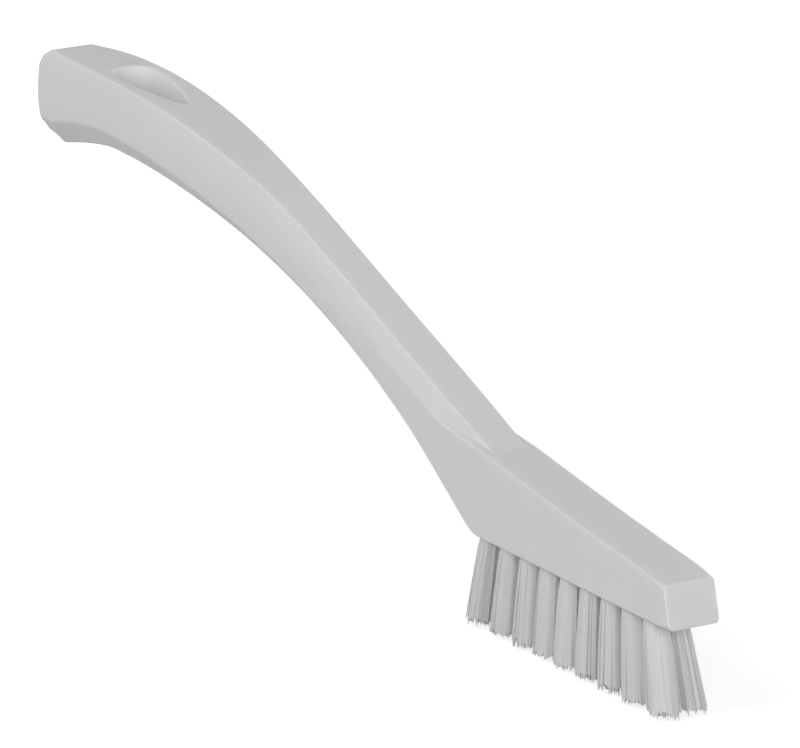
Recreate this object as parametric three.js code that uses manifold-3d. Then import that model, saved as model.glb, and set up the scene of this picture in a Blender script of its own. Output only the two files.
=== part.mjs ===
// A narrow detailing brush: one moulded body with a curved handle and a wedge-shaped head,
// two rows of filament tufts, and a flat wire anchor in every tuft hole.
// Millimetres, +Z up, +X towards the tip. The origin lies below the middle of the brush,
// in the plane of the bristle tips. "Back" is a distance behind the tip, "height" a distance
// above the bristle face.

import * as THREE from 'three';
import { ParametricGeometry } from 'three/addons/geometries/ParametricGeometry.js';
import { mergeVertices } from 'three/addons/utils/BufferGeometryUtils.js';
import Module from 'manifold-3d';

// Overall sizes
const overallLength = 205;
const bristleLength = 16;

// Head
const headWidth = 9.5;
const headLength = 58.6;
const headCornerBlend = 1.1;
const headEdgeChamfer = 0.15;
const tipHeight = 7.33;
const tipSlant = 1.95;
const tipSlantFade = 8;
const tipBevel = 0.35;
const headTopSag = 0.3;

// Neck: where the narrow handle runs out on the top of the head
const neckBack = 54.5;
const neckHeight = 14.77;
const neckTopWidth = 7.6;
const ledgeRise = 0.14;
const ledgeLength = 27;
const ledgeDip = 0.9;
const ledgeDipBack = 63;
const ledgeDipReach = 14;

// Handle, from the straight neck to the arched grip
const handleSlope = 0.393;
const gripArcStart = 111;
const gripArcRadius = 204;
const lowerSideDraft = 0.2;
const waistBack = 100;
const waistThickness = 10;
const waistWidth = 9.2;
const waistTopWidth = 6.85;
const waistSideDepth = 4.5;
const shoulderBack = 80;
const shoulderThickness = 11.05;
const shoulderSideDepth = 4.2;
const midGripFromHeel = 81;
const midGripThickness = 11.55;
const midGripWidth = 9.4;
const midGripTopWidth = 7.4;
const gripFromHeel = 55;
const gripThickness = 12.7;
const gripWidth = 11.6;
const gripTopWidth = 10.4;
const gripSideDepth = 5.3;
const palmFromHeel = 33;
const palmThickness = 13.3;
const palmWidth = 12.7;
const palmTopWidth = 12;
const palmSideDepth = 4.4;

// Underside chamfer, wide along the grip and run out towards the head
const chamferSteepness = 1.5;
const chamferRunOut = 85;
const midGripChamfer = 1.05;
const gripChamfer = 1.85;
const palmChamfer = 2.3;
const heelChamfer = 2.7;
const heelEndChamfer = 1.2;

// Heel
const heelRiseFromEnd = 24;
const heelRiseThickness = 13.9;
const heelHookFromEnd = 6;
const heelHookThickness = 17.15;
const heelTopCutLength = 5.5;
const heelTopCutDrop = 1.95;
const heelBottomCutLength = 6.5;
const heelBottomCutRise = 2.55;
const heelTaperLength = 20;
const heelWidth = 12.2;
const heelTopWidth = 11.6;
const heelTaperPower = 1.35;
const heelSideInset = 1.75;
const heelTopInset = 2.9;
const heelEndSideDepth = 1.9;

// Hanging hole, an egg with its narrow end towards the head, tapered towards the underside
const hangingHoleFromHeel = 28.3;
const hangingHoleRadius = 4.4;
const hangingHoleFlank = 0.28;
const hangingHoleTipFullness = 0.4;
const hangingHoleReach = 17.6;
const hangingHoleDraft = 0.1;
const hangingHolePointDraft = 0.26;

// Tufts
const tuftPitch = 6;
const firstTuftBack = 8.4;
const tuftsPerRow = 9;
const rowOffset = 1.95;
const tuftHoleRadius = 1.45;
const tuftHoleDepth = 6;
const strandsPerTuft = 20;
const strandThickness = 0.25;
const strandCircleRadius = 1.22;
const tuftSpread = 1.6;
const frontTuftLean = 0.25;
const rearTuftLean = 0.17;
const rowLean = 0.04;

// The slice of backing that carries a row of strands, and the pocket it sits in
const sliceThickness = 1;
const sliceHalfWidth = 3.75;
const sliceEndMargin = 1.5;

// Anchor wire
const anchorThickness = 0.4;
const anchorHeight = 1.4;
const anchorLength = 1.8;

// Clearances and facets
const clearance = 0.3;
const holeSides = 12;
const rootSides = 8;
const hangingHoleSides = 14;
const cutMargin = 5;
const cornerRunIn = 0.6;
const cornerRunOut = 3;
const weldDistance = 1e-4;

// How many cross-sections each stretch of the body gets
const tipSections = 2;
const headSections = 8;
const cornerSections = 9;
const ledgeSections = 8;
const straightSections = 5;
const gripSections = 16;
const heelSections = 6;
const heelEndSections = 2;

// Places that follow from the sizes above
const tipX = overallLength / 2;
const heelEnd = overallLength;
const frontTuftX = tipX - firstTuftBack;
const rearTuftX = frontTuftX - (tuftsPerRow - 1) * tuftPitch;
const tuftRows = [
  { name: 'near', side: -1 },
  { name: 'far', side: 1 },
];

const wasm = await Module();
wasm.setup();

// Smooth helpers

function smoothStep(low, high, value) {
  return THREE.MathUtils.smoothstep(value, low, high);
}

// The larger of a value and zero, rounded over a length on both sides of zero.
function roundedPositive(value, blend) {
  if (value <= -blend) return 0;
  if (value >= blend) return value;
  return (value + blend) ** 2 / (4 * blend);
}

// A smooth function of one variable through [place, value] pairs in rising order of place.
function curveThrough(pairs) {
  const slopes = pairs.map((pair, i) => {
    const before = pairs[Math.max(i - 1, 0)];
    const after = pairs[Math.min(i + 1, pairs.length - 1)];
    return (after[1] - before[1]) / (after[0] - before[0]);
  });
  return (place) => {
    let i = 0;
    while (i < pairs.length - 2 && place > pairs[i + 1][0]) i += 1;
    const [startPlace, startValue] = pairs[i];
    const [endPlace, endValue] = pairs[i + 1];
    const span = endPlace - startPlace;
    const t = THREE.MathUtils.clamp((place - startPlace) / span, 0, 1);
    const startPart = (1 + 2 * t) * (1 - t) ** 2 * startValue + t * (1 - t) ** 2 * span * slopes[i];
    const endPart = t * t * (3 - 2 * t) * endValue - t * t * (1 - t) * span * slopes[i + 1];
    return startPart + endPart;
  };
}

// Heights and half widths of the body as functions of the distance behind the tip

function headTopHeight(back) {
  const t = (back - tipSlant) / (neckBack - tipSlant);
  const chord = tipHeight + (neckHeight - tipHeight) * t;
  const sag = t < 1 ? 4 * headTopSag * t * (1 - t) : 0;
  return chord - sag;
}

// The top of the handle: straight from the neck, then an arc over the grip.
function handleTopHeight(back) {
  const straight = neckHeight + handleSlope * (back - neckBack);
  if (back <= gripArcStart) return straight;
  const angle = Math.atan(handleSlope);
  const centreBack = gripArcStart + gripArcRadius * Math.sin(angle);
  const startHeight = neckHeight + handleSlope * (gripArcStart - neckBack);
  const centreHeight = startHeight - gripArcRadius * Math.cos(angle);
  return centreHeight + Math.sqrt(gripArcRadius ** 2 - (back - centreBack) ** 2);
}

const handleThickness = curveThrough([
  [headLength, handleTopHeight(headLength)],
  [shoulderBack, shoulderThickness],
  [waistBack, waistThickness],
  [heelEnd - midGripFromHeel, midGripThickness],
  [heelEnd - gripFromHeel, gripThickness],
  [heelEnd - palmFromHeel, palmThickness],
  [heelEnd - heelRiseFromEnd, heelRiseThickness],
  [heelEnd - heelHookFromEnd, heelHookThickness],
]);

const handleHalfWidth = curveThrough([
  [neckBack, headWidth / 2],
  [waistBack, waistWidth / 2],
  [heelEnd - midGripFromHeel, midGripWidth / 2],
  [heelEnd - gripFromHeel, gripWidth / 2],
  [heelEnd - palmFromHeel, palmWidth / 2],
  [heelEnd - heelTaperLength, heelWidth / 2],
]);

const topHalfWidth = curveThrough([
  [neckBack, neckTopWidth / 2],
  [waistBack, waistTopWidth / 2],
  [heelEnd - midGripFromHeel, midGripTopWidth / 2],
  [heelEnd - gripFromHeel, gripTopWidth / 2],
  [heelEnd - palmFromHeel, palmTopWidth / 2],
  [heelEnd - heelTaperLength, heelTopWidth / 2],
]);

// The depth of the drafted upper side, from the edge of the top down to the crease.
const upperSideDepth = curveThrough([
  [shoulderBack, shoulderSideDepth],
  [waistBack, waistSideDepth],
  [heelEnd - gripFromHeel, gripSideDepth],
  [heelEnd - palmFromHeel, palmSideDepth],
  [heelEnd - heelTaperLength, palmSideDepth],
  [heelEnd, heelEndSideDepth],
]);

const chamferWidth = curveThrough([
  [chamferRunOut, headEdgeChamfer],
  [heelEnd - midGripFromHeel, midGripChamfer],
  [heelEnd - gripFromHeel, gripChamfer],
  [heelEnd - palmFromHeel, palmChamfer],
  [heelEnd - heelBottomCutLength, heelChamfer],
  [heelEnd, heelEndChamfer],
]);

// How far the side is drawn in near the heel's end, from nothing to the full inset.
function heelDrawIn(back, fullInset) {
  const t = Math.max(0, (back - (heelEnd - heelTaperLength)) / heelTaperLength);
  return fullInset * t ** heelTaperPower;
}

function bottomHeight(back) {
  const straightBottom = handleTopHeight(back) - handleThickness(back);
  if (back < headLength - headCornerBlend) return 0;
  const belly = roundedPositive(straightBottom, headCornerBlend);
  const cut = Math.max(0, back - (heelEnd - heelBottomCutLength)) / heelBottomCutLength;
  return belly + heelBottomCutRise * cut;
}

function topHeight(back) {
  if (back <= neckBack) return headTopHeight(back);
  const cut = Math.max(0, back - (heelEnd - heelTopCutLength)) / heelTopCutLength;
  return handleTopHeight(back) - heelTopCutDrop * cut;
}

// The top of the flush side: the edge of the head's top, then the ledge beside the neck,
// then the crease below the drafted upper side of the handle.
function sideTopHeight(back) {
  if (back <= neckBack) return headTopHeight(back);
  const ledge = neckHeight + ledgeRise * (back - neckBack);
  const crease = topHeight(back) - upperSideDepth(back);
  return back < neckBack + ledgeLength ? Math.max(ledge, crease) : crease;
}

// How far the outer edge of the ledge dips below its inner edge beside the neck.
function ledgeEdgeDip(back) {
  const t = THREE.MathUtils.clamp((back - ledgeDipBack) / ledgeDipReach, -1, 1);
  return (ledgeDip * (1 + Math.cos(Math.PI * t))) / 2;
}

// The right half of a cross-section, from the flat bottom to the flat top, as [y, height].
function halfSection(back) {
  const upperHeight = topHeight(back);
  const sideHeight = sideTopHeight(back);
  const outerHeight = sideHeight - ledgeEdgeDip(back);
  const bottom = bottomHeight(back);
  const chamfer = chamferWidth(back);
  const chamferTop = bottom + chamferSteepness * chamfer;
  const onHead = back <= neckBack;
  const wide = onHead ? headWidth / 2 : handleHalfWidth(back);
  const outer = wide - heelDrawIn(back, heelSideInset);
  const top = topHalfWidth(back) - heelDrawIn(back, heelTopInset);
  const handleShare = smoothStep(neckBack, waistBack, back);
  const lower = THREE.MathUtils.lerp(headWidth / 2, outer - lowerSideDraft, handleShare);
  const ledgeShare = THREE.MathUtils.clamp((upperHeight - sideHeight) / upperSideDepth(back), 0, 1);
  return [
    [lower - chamfer, bottom],
    [lower, chamferTop],
    [outer, outerHeight],
    [THREE.MathUtils.lerp(top, outer, ledgeShare), sideHeight],
    [top, upperHeight],
  ];
}

// A closed ring of points around the body at one distance behind the tip.
function bodyRing(back, shrink) {
  const half = halfSection(back);
  const mirrored = half.map(([y, height]) => [-y, height]).reverse();
  const middle = (half[0][1] + half[half.length - 1][1]) / 2;
  return [...half, ...mirrored].map(([y, height]) => {
    const slant = tipSlant * (height / tipHeight) * Math.max(0, 1 - back / tipSlantFade);
    const y2 = y - Math.sign(y) * shrink;
    const height2 = height - Math.sign(height - middle) * shrink;
    return new THREE.Vector3(tipX - back - slant, y2, bristleLength + height2);
  });
}

function evenStations(start, end, count) {
  return Array.from({ length: count }, (_, i) => start + ((end - start) * (i + 1)) / count);
}

function bodyRings() {
  const cornerStart = headLength - headCornerBlend - cornerRunIn;
  const cornerEnd = headLength + cornerRunOut;
  const ledgeEnd = neckBack + ledgeLength;
  const heelStart = heelEnd - heelTaperLength;
  const stations = [
    tipBevel,
    ...evenStations(tipBevel, tipSlantFade, tipSections),
    ...evenStations(tipSlantFade, neckBack, headSections),
    ...evenStations(neckBack, cornerStart, 1),
    ...evenStations(cornerStart, cornerEnd, cornerSections),
    ...evenStations(cornerEnd, ledgeEnd, ledgeSections),
    ...evenStations(ledgeEnd, gripArcStart, straightSections),
    ...evenStations(gripArcStart, heelStart, gripSections),
    ...evenStations(heelStart, heelEnd - heelBottomCutLength, heelSections),
    heelEnd - heelTopCutLength,
    ...evenStations(heelEnd - heelTopCutLength, heelEnd, heelEndSections),
  ];
  const rings = stations.map((back) => bodyRing(back, 0));
  return [bodyRing(0, tipBevel), ...rings];
}

function ringCentre(ring) {
  const centre = new THREE.Vector3();
  ring.forEach((point) => centre.add(point));
  return centre.divideScalar(ring.length);
}

// A closed skin through rings of equal point counts, with both ends drawn to their centres.
function loftGeometry(rings) {
  const ringSize = rings[0].length;
  const rows = [rings[0].map(() => ringCentre(rings[0])), ...rings];
  const last = rings[rings.length - 1];
  rows.push(last.map(() => ringCentre(last)));
  const place = (u, v, target) => {
    const row = rows[Math.round(v * (rows.length - 1))];
    target.copy(row[Math.round((1 - u) * ringSize) % ringSize]);
  };
  return new ParametricGeometry(place, ringSize, rows.length - 1);
}

// Joining and cutting

function toSolid(geometry) {
  const bare = geometry.clone();
  Object.keys(bare.attributes).forEach((name) => {
    if (name !== 'position') bare.deleteAttribute(name);
  });
  const merged = mergeVertices(bare, weldDistance);
  const corners = merged.index.array;
  const triangles = [];
  for (let i = 0; i < corners.length; i += 3) {
    const [a, b, c] = [corners[i], corners[i + 1], corners[i + 2]];
    if (a !== b && b !== c && c !== a) triangles.push(a, b, c);
  }
  const mesh = new wasm.Mesh({
    numProp: 3,
    vertProperties: new Float32Array(merged.attributes.position.array),
    triVerts: new Uint32Array(triangles),
  });
  return new wasm.Manifold(mesh);
}

function toGeometry(solid) {
  const mesh = solid.getMesh();
  const geometry = new THREE.BufferGeometry();
  geometry.setAttribute('position', new THREE.BufferAttribute(mesh.vertProperties, 3));
  geometry.setIndex(new THREE.BufferAttribute(mesh.triVerts, 1));
  geometry.computeVertexNormals();
  return geometry;
}

function placed(geometry, x, y, z) {
  return geometry.clone().translate(x, y, z);
}

function boxBetween(low, high) {
  const size = new THREE.Vector3().subVectors(high, low);
  const centre = new THREE.Vector3().addVectors(low, high).multiplyScalar(0.5);
  return placed(new THREE.BoxGeometry(size.x, size.y, size.z), centre.x, centre.y, centre.z);
}

// An upright round bar between two heights.
function uprightBar(radius, sides, x, y, low, high) {
  const bar = new THREE.CylinderGeometry(radius, radius, high - low, sides).rotateX(Math.PI / 2);
  return placed(bar, x, y, (low + high) / 2);
}

// Tuft layout

function tuftPlaces(row) {
  return Array.from({ length: tuftsPerRow }, (_, i) => ({
    x: frontTuftX - i * tuftPitch,
    y: row.side * rowOffset,
  }));
}

const allTufts = tuftRows.flatMap((row) => tuftPlaces(row));

function sliceBox(row, grow) {
  const edge = row.side * (sliceHalfWidth + grow);
  const inner = row.side * (clearance / 2 - grow);
  const rear = rearTuftX - sliceEndMargin - grow;
  const front = frontTuftX + sliceEndMargin + grow;
  const low = new THREE.Vector3(rear, Math.min(edge, inner), bristleLength - grow);
  const high = new THREE.Vector3(front, Math.max(edge, inner), bristleLength + sliceThickness + grow);
  return boxBetween(low, high);
}

// Body

// The outline of the hanging hole at a height: half a circle drawn out to a rounded narrow end.
function hangingHoleRing(height) {
  const above = height - handleTopHeight(heelEnd - hangingHoleFromHeel);
  const radius = hangingHoleRadius + hangingHoleDraft * above;
  const reach = hangingHoleReach + hangingHolePointDraft * above;
  const flank = hangingHoleFlank * reach;
  const fullness = hangingHoleTipFullness * radius;
  const shape = new THREE.Shape();
  shape.absarc(0, 0, radius, Math.PI / 2, 1.5 * Math.PI, false);
  shape.bezierCurveTo(flank, -radius, reach, -fullness, reach, 0);
  shape.bezierCurveTo(reach, fullness, flank, radius, 0, radius);
  const middleX = tipX - heelEnd + hangingHoleFromHeel;
  const points = shape.getPoints(hangingHoleSides).slice(1);
  return points.map(({ x, y }) => new THREE.Vector3(middleX + x, y, bristleLength + height));
}

function hangingHoleCutter() {
  const holeBack = heelEnd - hangingHoleFromHeel;
  const low = hangingHoleRing(bottomHeight(holeBack) - cutMargin);
  const high = hangingHoleRing(handleTopHeight(holeBack) + cutMargin);
  return loftGeometry([high, low]);
}

function brushBodyGeometry() {
  let body = toSolid(loftGeometry(bodyRings()));
  body = body.subtract(toSolid(hangingHoleCutter()));
  tuftRows.forEach((row) => {
    body = body.subtract(toSolid(sliceBox(row, clearance)));
  });
  allTufts.forEach(({ x, y }) => {
    const holeTop = bristleLength + tuftHoleDepth;
    body = body.subtract(toSolid(uprightBar(tuftHoleRadius, holeSides, x, y, bristleLength, holeTop)));
  });
  return toGeometry(body);
}

// Bristles

// Where the strands of a tuft stand around its middle, evenly over a disc.
function strandOffsets() {
  const goldenAngle = Math.PI * (3 - Math.sqrt(5));
  return Array.from({ length: strandsPerTuft }, (_, i) => {
    const radius = strandCircleRadius * Math.sqrt((i + 0.5) / strandsPerTuft);
    return new THREE.Vector2(radius * Math.cos(i * goldenAngle), radius * Math.sin(i * goldenAngle));
  });
}

// How far the middle of a tuft leans over its length: back at the rear, forward at the front.
function tuftLean(x) {
  const share = (2 * (x - rearTuftX)) / (frontTuftX - rearTuftX) - 1;
  const endLean = share > 0 ? frontTuftLean : -rearTuftLean;
  return endLean * bristleLength * share ** 2;
}

// All strands of a row: four-sided bars from inside the slice to the plane of the tips.
function strandGeometry(row) {
  const half = strandThickness / 2;
  const corners = [[-half, -half], [half, -half], [half, half], [-half, half]];
  const rootZ = bristleLength + sliceThickness / 2;
  const positions = [];
  const index = [];
  tuftPlaces(row).forEach((tuft) => {
    strandOffsets().forEach((offset) => {
      const base = positions.length / 3;
      corners.forEach(([dx, dy]) => {
        positions.push(tuft.x + offset.x + dx, tuft.y + offset.y + dy, rootZ);
      });
      const tip = {
        x: tuft.x + tuftLean(tuft.x) + offset.x * tuftSpread,
        y: tuft.y + row.side * rowLean * bristleLength + offset.y * tuftSpread,
      };
      corners.forEach(([dx, dy]) => positions.push(tip.x + dx, tip.y + dy, 0));
      for (let i = 0; i < 4; i += 1) {
        const next = (i + 1) % 4;
        index.push(base + i, base + 4 + i, base + next);
        index.push(base + next, base + 4 + i, base + 4 + next);
      }
      index.push(base, base + 1, base + 2, base, base + 2, base + 3);
      index.push(base + 4, base + 6, base + 5, base + 4, base + 7, base + 6);
    });
  });
  const geometry = new THREE.BufferGeometry();
  geometry.setAttribute('position', new THREE.Float32BufferAttribute(positions, 3));
  geometry.setIndex(index);
  return geometry;
}

// The folded filament of each tuft fills its hole, with a slot for the anchor at its end.
function bristleRowGeometry(row) {
  let bristles = toSolid(sliceBox(row, 0)).add(toSolid(strandGeometry(row)));
  const rootTop = bristleLength + tuftHoleDepth - clearance;
  const rootBottom = bristleLength + sliceThickness / 2;
  const slotBottom = rootTop - anchorHeight - clearance;
  const slotHalf = anchorThickness / 2 + clearance;
  tuftPlaces(row).forEach(({ x, y }) => {
    const radius = tuftHoleRadius - clearance;
    const root = toSolid(uprightBar(radius, rootSides, x, y, rootBottom, rootTop));
    const slotLow = new THREE.Vector3(x - tuftHoleRadius, y - slotHalf, slotBottom);
    const slotHigh = new THREE.Vector3(x + tuftHoleRadius, y + slotHalf, rootTop + cutMargin);
    bristles = bristles.add(root).subtract(toSolid(boxBetween(slotLow, slotHigh)));
  });
  return toGeometry(bristles);
}

// Materials

const bodyPlastic = new THREE.MeshStandardMaterial({ color: 0xe4e4e2, roughness: 0.42, metalness: 0 });
const filament = new THREE.MeshStandardMaterial({ color: 0xe9eaea, roughness: 0.5, metalness: 0 });
const anchorSteel = new THREE.MeshStandardMaterial({ color: 0xb9bcc0, roughness: 0.35, metalness: 1 });

// Assembly

function namedMesh(name, geometry, material) {
  const mesh = new THREE.Mesh(geometry, material);
  mesh.name = name;
  return mesh;
}

function anchorMeshes(row) {
  const shape = new THREE.BoxGeometry(anchorLength, anchorThickness, anchorHeight);
  const z = bristleLength + tuftHoleDepth - clearance - anchorHeight / 2;
  return tuftPlaces(row).map(({ x, y }, i) => {
    const anchor = namedMesh(`${row.name}_anchor_${i + 1}`, shape, anchorSteel);
    anchor.position.set(x, y, z);
    return anchor;
  });
}

const brush = new THREE.Group();
brush.add(namedMesh('brush_body', brushBodyGeometry(), bodyPlastic));
tuftRows.forEach((row) => {
  brush.add(namedMesh(`${row.name}_row_bristles`, bristleRowGeometry(row), filament));
  anchorMeshes(row).forEach((anchor) => brush.add(anchor));
});

export default brush;
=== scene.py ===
"""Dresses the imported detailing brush: a moulded white body, filament tufts, anchors and a plain studio."""

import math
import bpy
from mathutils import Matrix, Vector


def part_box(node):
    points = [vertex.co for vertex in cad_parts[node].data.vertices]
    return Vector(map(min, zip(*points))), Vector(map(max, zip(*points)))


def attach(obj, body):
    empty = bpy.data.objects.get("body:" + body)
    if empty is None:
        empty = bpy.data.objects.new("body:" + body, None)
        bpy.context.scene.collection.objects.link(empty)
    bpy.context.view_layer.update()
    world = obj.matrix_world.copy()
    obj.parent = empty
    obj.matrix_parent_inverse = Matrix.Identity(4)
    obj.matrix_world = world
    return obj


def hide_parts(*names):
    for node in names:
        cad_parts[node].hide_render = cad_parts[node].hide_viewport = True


bl_info = {
    "name": "Detailing Brush",
    "version": (1, 0, 0),
    "blender": (4, 5, 0),
    "location": "View3D > Sidebar > Brush",
    "description": "Builds a narrow moulded brush with filament tufts around its packed frame",
    "category": "Add Mesh",
}

import bmesh
import bpy
import numpy as np
from bpy.props import FloatProperty, FloatVectorProperty, IntProperty, PointerProperty
from mathutils import Matrix, Vector

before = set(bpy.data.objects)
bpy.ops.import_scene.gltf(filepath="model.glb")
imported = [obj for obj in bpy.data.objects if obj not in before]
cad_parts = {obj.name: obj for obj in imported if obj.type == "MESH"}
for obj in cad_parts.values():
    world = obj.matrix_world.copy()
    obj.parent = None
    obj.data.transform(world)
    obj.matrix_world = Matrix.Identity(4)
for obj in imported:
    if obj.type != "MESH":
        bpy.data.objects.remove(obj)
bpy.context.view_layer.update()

MM = 0.001
TINY = 1e-9
BODY_LOW, BODY_HIGH = (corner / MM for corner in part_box("brush_body"))

# Sizes of the moulding in millimetres. "Back" is the distance behind the tip and "height" the distance
# above the bristle face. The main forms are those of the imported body. The tip's rounded corners, the
# flatter ledge, the narrower neck, the heel's foot, the flare of the hole's wall and the wider tuft
# holes are the scene's own.
TIP_X = BODY_HIGH.x
FACE_Z = BODY_LOW.z
HEEL_END = BODY_HIGH.x - BODY_LOW.x
HEAD_WIDTH = 9.5
HEAD_LENGTH = 58.6
HEAD_CORNER_BLEND = 1.1
HEAD_SAG = 0.3
TIP_HEIGHT = 7.33
TIP_SLANT = 1.95
TIP_SLANT_FADE = 8.0
TIP_EDGE_SHARE = 0.45
TIP_CORNER = 0.85
TIP_CORNER_CHAMFER = 0.3
TIP_CORNER_FADE = 3.5
NECK_BACK = 54.5
NECK_HEIGHT = 14.77
NECK_BLEND = 0.2
NECK_BLEND_START = NECK_BACK - 3
LEDGE_RISE = 0.14
LEDGE_LENGTH = 27.0
LEDGE_END = NECK_BACK + LEDGE_LENGTH
LEDGE_DIP = 0.25
LEDGE_WIDTH_POWER = 2.5
LEDGE_DIP_BACK = 63.0
LEDGE_DIP_REACH = 14.0
LEDGE_INNER_SHARE = 0.6
HANDLE_SLOPE = 0.393
ARC_START = 111.0
ARC_RADIUS = 204.0
LOWER_SIDE_DRAFT = 0.2
WAIST_BACK = 100.0
CHAMFER_STEEPNESS = 1.5
CREASE_SHARE = 0.35
CREASE_RUN_IN = 20.0
HEEL_TAPER_LENGTH = 20.0
HEEL_TAPER_POWER = 1.35
HEEL_SIDE_INSET = 1.75
HEEL_TOP_INSET = 2.9
HEEL_FOOT_TOP = 40.2
HEEL_FOOT_REACH = 3.6
HEEL_FOOT_LEAN = 1.5
HEEL_FOOT_FADE = 7.0

# Bevels of the heel as (length, drop, blend)
HEEL_TOP_CUT = (5.5, 1.95, 0.7)
HEEL_BOTTOM_CUT = (6.5, 2.55, 1.0)

# Curves along the brush as (back, value) pairs
THICKNESS = (
    (80.0, 11.05), (100.0, 10.0), (124.0, 11.55), (150.0, 12.7),
    (172.0, 13.3), (181.0, 13.9), (199.0, 17.15))
SIDE_HALF_WIDTH = ((100.0, 4.6), (124.0, 4.7), (150.0, 5.8), (172.0, 6.335), (185.0, 6.1))
TOP_HALF_WIDTH = (
    (NECK_BACK, 3.3), (72.0, 3.5), (100.0, 3.425), (124.0, 3.7),
    (150.0, 5.2), (172.0, 6.0), (185.0, 5.8))
UPPER_SIDE_DEPTH = ((80.0, 4.2), (100.0, 4.5), (150.0, 5.3), (172.0, 4.4), (185.0, 4.4), (205.0, 1.9))
CHAMFER_WIDTH = ((85.0, 0.15), (124.0, 1.05), (150.0, 1.85), (172.0, 2.3), (198.5, 2.7), (205.0, 1.2))

# Hanging hole, an egg in plan: the radius of its round end, its reach to the narrow end and its rim's
# share of the rim radius, at the top and at the underside. Its flare is the power of the rise with which
# the wall opens from the underside to the top.
HOLE_BACK = 176.7
HOLE_TOP = (4.15, 17.3, 1.0)
HOLE_UNDER = (2.7, 13.8, 0.8)
HOLE_START = HOLE_BACK - HOLE_TOP[1]
HOLE_END = HOLE_BACK + HOLE_TOP[0]
HOLE_FLANK = 0.28
HOLE_TIP_FULLNESS = 0.4
HOLE_FLARE = 5.0

# Fineness of the body's mesh: points on the hole's flank and round end, up its wall and across its rim,
# around a rounded corner and a rounded end, and shares of the way across a flat
HOLE_COUNTS = (30, 18)
WALL_STEPS = 15
RIM_STEPS = 5
CORNER_STEPS = 7
END_STEPS = 7
FLAT_SHARES = np.array([0.15, 0.5, 0.85])

# Where the cross-sections of the body change their pitch, in distances behind the tip
TIP_STRETCH_END = 8.0
NECK_STRETCH = (51.0, HEAD_LENGTH + 4)
HOLE_STRETCH = (HOLE_START - 1.2, HOLE_END + 1)
HEEL_STRETCH_START = HEEL_END - 8

# The largest share of an edge that a corner's rounding takes, the distance from a rounding to the next
# point on the flat and its largest share of the flat, and how far the flat end faces lie inside their
# rounded edges
CORNER_SHARE = 0.45
FLAT_MARGIN = 0.15
FLAT_MARGIN_SHARE = 0.25
CAP_INSET = 0.15

# Clean-up distances in metres, and the angles in degrees past which an edge is shaded sharp
MERGE_DISTANCE = 2e-6
SHORTEST_EDGE = 1e-6
BODY_SHARP_ANGLE = 32
FILAMENT_SHARP_ANGLE = 50

# Tufts and their holes in millimetres, and the sideways lean of a row per unit of length
TUFT_PITCH = 6.0
FIRST_TUFT_BACK = 8.4
TUFTS_PER_ROW = 9
ROW_OFFSET = 1.95
ROW_LEAN = 0.04
ROWS = {"near_row": -1, "far_row": 1}
TUFT_HOLE_RADIUS = 1.8
TUFT_HOLE_DEPTH = 6.0
TUFT_HOLE_SIDES = 28
MOUTH_WIDENING = 0.08
MOUTH_DEPTH = 0.1
CUTTER_OVERHANG = 1.0

# Filaments. Depths are shares of the length, or millimetres up into the hole where they are negative.
# Bow, wander and the gaps above the floor are in millimetres.
FIRST_SEED = 3
FILAMENT_SIDES = 5
FILAMENT_DEPTHS = (-2.0, 0.0, 0.05, 0.14, 0.32, 0.52, 0.74, 0.965, 1.0)
FILAMENT_END_TAPER = 0.72
FILAMENT_BOW = 0.16
FILAMENT_WANDER = 0.1
SHORTEST_SHARE = 0.95
FLOOR_GAP = 0.35
STRAY_SHARE = 0.012
STRAY_FLOOR_GAP = 0.02
UNEVEN_SPREAD = 0.05
FLARE_POWER = 0.34
SPLAYED_FLARE_POWER = 0.7
REAR_SPREAD_POWER = 6

# The packed heart of a tuft, as shares of the tuft's radius and length. Its last ring lies back inside
# the one before it, so that the end is a shallow bowl.
HEART_SIDES = 44
HEART_DEPTHS = (-2.0, 0.0, 0.03, 0.08, 0.25, 0.6, 0.975, 0.93)
HEART_RADII = (0.95, 0.98, 1.0, 1.0, 1.0, 1.0, 0.98, 0.8)
HEART_FLUTING = 0.022
SPLAYED_HEART_LOSS = 0.25

# Patterns of the finishes: noise scales per metre, stretches along the axes, heights of relief in metres,
# its strengths, shares of the colour between which a tone moves, and how far a roughness moves
CLOUD_SCALE = 38
GLOSS_SCALE = 160
GRAIN_SCALE = 3600
GRAIN_RELIEF = 0.00006
FLOW_SCALE = 220
FLOW_STRETCH = (0.12, 1, 1)
FLOW_RELIEF = 0.0002
BODY_TONES = (0.985, 1.015)
BODY_GLOSS_RANGE = 0.05
STREAK_SCALE = 5200
STREAK_STRETCH = (1, 1, 0.06)
STREAK_RELIEF = 0.00003
STREAK_STRENGTH = 0.15
FILAMENT_TONES = (0.96, 1.03)
FILAMENT_GLOSS_RANGE = 0.07
DRAWN_SCALE = 2600
DRAWN_STRETCH = (0.08, 1, 1)
DRAWN_STRENGTH = 0.2
WIRE_TONES = (0.9, 1.08)
WIRE_ROUGHNESS = (0.28, 0.42)

# The stage in metres: the floor's half size, the distances from the brush between which it turns white,
# the point that the lamps face, and the range that the camera sees. Its sensor width is in millimetres.
FLOOR_HALF_SIZE = 4.0
FLOOR_FADE = (0.1, 0.5)
LAMP_TARGET = Vector((0, 0, 0.03))
CLIP_RANGE = (0.05, 20)
SENSOR_WIDTH = 36


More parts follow.
